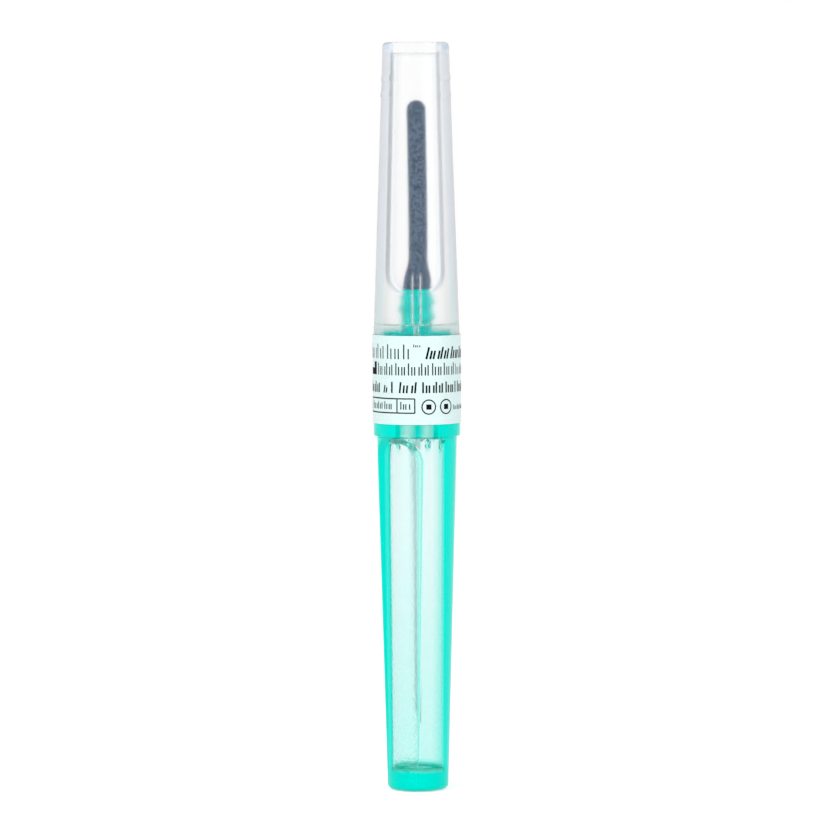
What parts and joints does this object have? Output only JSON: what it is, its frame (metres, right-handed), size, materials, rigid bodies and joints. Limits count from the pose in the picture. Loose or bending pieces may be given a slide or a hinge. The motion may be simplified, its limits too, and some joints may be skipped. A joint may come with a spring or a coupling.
{
  "type": "multi-sample blood collection needle",
  "caption": "Double-ended steel blood collection needle on a threaded hub, closed in a tapered teal front cap and a clear rear cap with a wrapped paper seal.",
  "frame": {"origin": "middle of the flat closed end that the front cap stands on", "axes": "+Z along the needle from the front cap's closed end to the rear cap's closed end, -Y towards the side the picture shows"},
  "size_m": [0.0106, 0.0107, 0.0896],
  "materials": {
    "front_cap_plastic": "translucent moulded polypropylene, satin ribs and finely textured sunk panels",
    "rear_cap_plastic": "clear moulded polypropylene, satin ribs and finely textured sunk panels",
    "hub_plastic": "moulded polypropylene, satin",
    "needle_steel": "drawn and ground stainless tube",
    "cured_glue": "cured clear adhesive",
    "sleeve_rubber": "moulded rubber, matt",
    "label_paper": "coated label paper, smooth"
  },
  "bodies": {
    "front_cap": {"front_cap": "front_cap_plastic", "label": "label_paper"},
    "hub": {"hub": "hub_plastic", "cannula": "needle_steel", "adhesive": "cured_glue", "sleeve": "sleeve_rubber"},
    "rear_cap": {"rear_cap": "rear_cap_plastic"}
  },
  "joints": [
    {"name": "hub_pull", "type": "slide", "parent": "front_cap", "child": "hub", "axis": [0, 0, 1], "range_m": [0, 0.048]},
    {"name": "rear_cap_pull", "type": "slide", "parent": "hub", "child": "rear_cap", "axis": [0, 0, 1], "range_m": [0, 0.036]}
  ]
}
